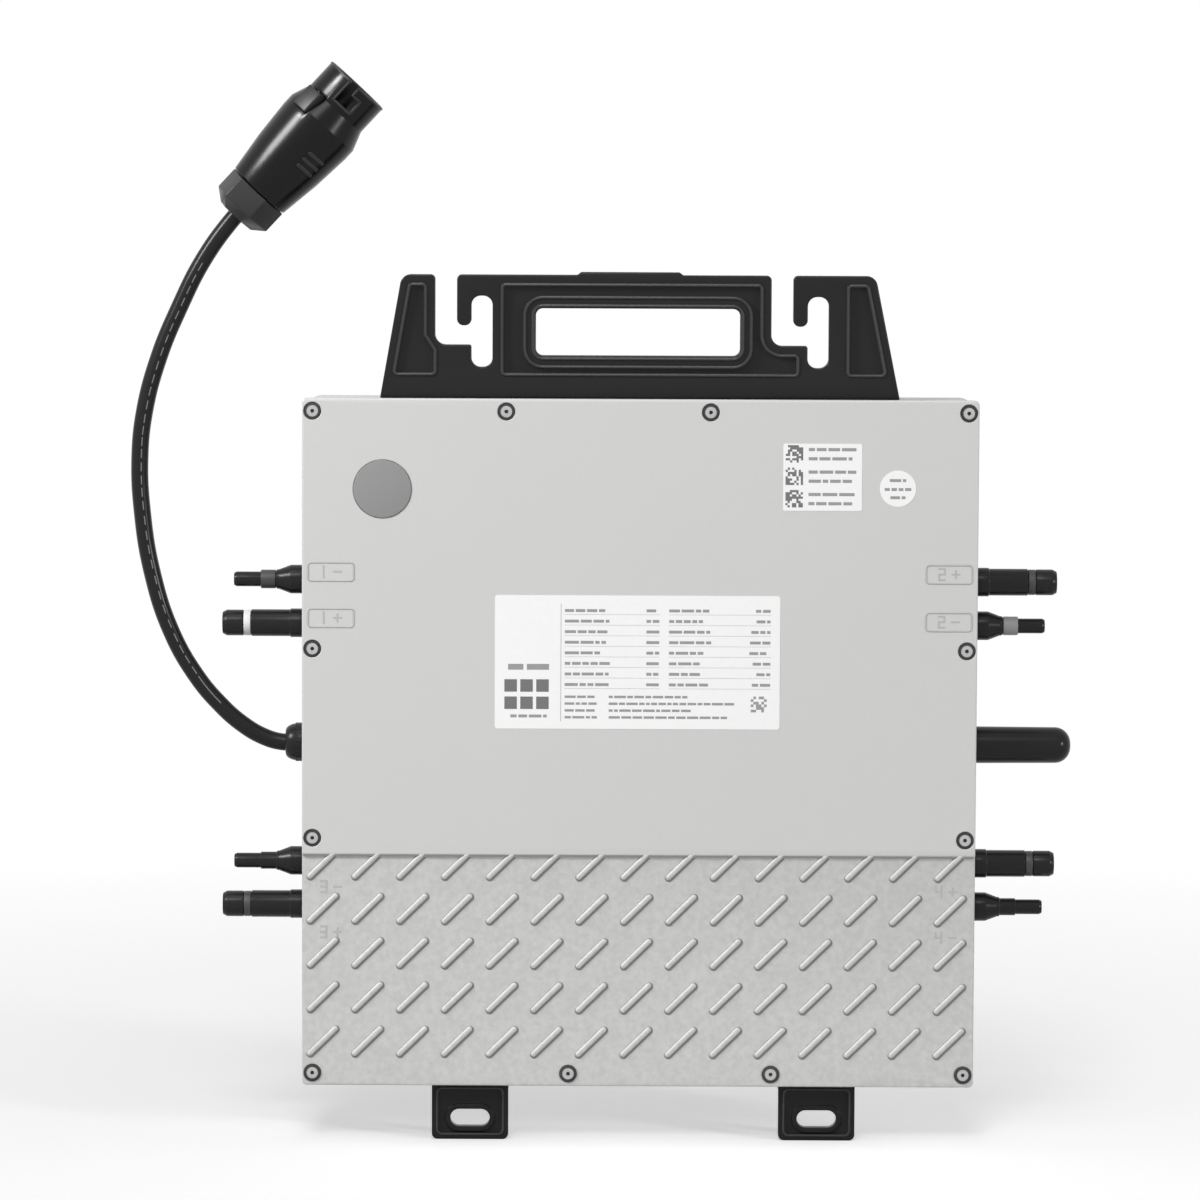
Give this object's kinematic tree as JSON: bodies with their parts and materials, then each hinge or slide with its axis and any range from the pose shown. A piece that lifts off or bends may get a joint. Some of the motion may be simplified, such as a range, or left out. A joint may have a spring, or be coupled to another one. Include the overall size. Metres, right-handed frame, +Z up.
{
  "type": "micro inverter",
  "caption": "Flat cast case with a ribbed cover, hooked hanger bracket, module inlets on both sides, antenna and a short AC lead with a plug.",
  "frame": {"origin": "on the back face of the hanger bracket, at mid width, 11 mm above the cover's top edge, where the unit leans on its rail", "axes": "+Z up, -Y out of the front cover, +X to the right seen from the front; +Y points into the rail or wall behind"},
  "size_m": [0.3924, 0.044, 0.4491],
  "materials": {
    "case_metal": "light grey fine-grained casting, matt",
    "seal_rubber": "soft black seal",
    "screw_steel": "zinc plated",
    "bracket_plastic": "black moulded, fine texture",
    "connector_plastic": "black moulded",
    "plug_plastic": "black moulded, glossy",
    "cable_rubber": "smooth black sheath",
    "antenna_rubber": "soft black sleeve",
    "contact_brass": "plated",
    "vent_membrane": "grey membrane",
    "circuit_board": "green solder mask",
    "spreader_metal": "milled",
    "ferrite": "dark sintered",
    "capacitor_sleeve": "blue sleeve",
    "component_plastic": "black moulded",
    "label_film": "white printed film",
    "ring_silicone": "grey silicone ring"
  },
  "bodies": {
    "case": {"rear_housing": "case_metal", "front_cover": "case_metal", "cover_gasket": "seal_rubber", "cover_screw_01": "screw_steel", "cover_screw_02": "screw_steel", "cover_screw_03": "screw_steel", "cover_screw_04": "screw_steel", "cover_screw_05": "screw_steel", "cover_screw_06": "screw_steel", "cover_screw_07": "screw_steel", "cover_screw_08": "screw_steel", "cover_screw_09": "screw_steel", "cover_screw_10": "screw_steel", "cover_screw_11": "screw_steel", "cover_screw_12": "screw_steel", "hanger_bracket": "bracket_plastic", "foot_left": "bracket_plastic", "foot_right": "bracket_plastic", "hanger_screw_left": "screw_steel", "hanger_screw_right": "screw_steel", "foot_screw_left": "screw_steel", "foot_screw_right": "screw_steel", "pv1_plug_inlet": "connector_plastic", "pv1_socket_inlet": "connector_plastic", "pv2_plug_inlet": "connector_plastic", "pv2_socket_inlet": "connector_plastic", "pv3_plug_inlet": "connector_plastic", "pv3_socket_inlet": "connector_plastic", "pv4_plug_inlet": "connector_plastic", "pv4_socket_inlet": "connector_plastic", "ac_gland_body": "connector_plastic", "ac_cable": "cable_rubber", "ac_plug_body": "plug_plastic", "ac_plug_insert": "connector_plastic", "antenna_jack": "contact_brass", "vent_disc": "vent_membrane", "main_board": "circuit_board", "heat_spreader": "spreader_metal", "transformer_1": "ferrite", "transformer_2": "ferrite", "transformer_3": "ferrite", "transformer_4": "ferrite", "input_capacitor_1": "capacitor_sleeve", "input_capacitor_2": "capacitor_sleeve", "input_capacitor_3": "capacitor_sleeve", "input_capacitor_4": "capacitor_sleeve", "output_choke": "ferrite", "filter_choke": "ferrite", "grid_relay": "component_plastic", "film_capacitor": "capacitor_sleeve", "ac_terminal_block": "component_plastic", "control_chip": "component_plastic", "radio_board": "circuit_board"},
    "antenna_stub": {"antenna": "antenna_rubber"},
    "gland_nut": {"ac_gland_nut": "connector_plastic"},
    "plug_nut": {"ac_plug_nut": "plug_plastic"},
    "plug_latch": {"ac_plug_latch": "plug_plastic"}
  },
  "joints": [
    {"name": "antenna_turn", "type": "hinge", "parent": "case", "child": "antenna_stub", "pos_m": [0.1395, 0.0076, -0.156], "axis": [1, 0, 0], "continuous": true},
    {"name": "gland_nut_turn", "type": "hinge", "parent": "case", "child": "gland_nut", "pos_m": [-0.1395, 0.0076, -0.156], "axis": [-1, 0, 0], "continuous": true},
    {"name": "plug_nut_turn", "type": "hinge", "parent": "case", "child": "plug_nut", "pos_m": [-0.1685, 0.0076, 0.0635], "axis": [0.682, 0, 0.7314], "continuous": true},
    {"name": "plug_latch_press", "type": "slide", "parent": "case", "child": "plug_latch", "axis": [0.4503, 0.788, -0.4199], "range_m": [0, 0.0012], "stiffness_N_per_m": 1000, "springref_m": -0.0005}
  ]
}
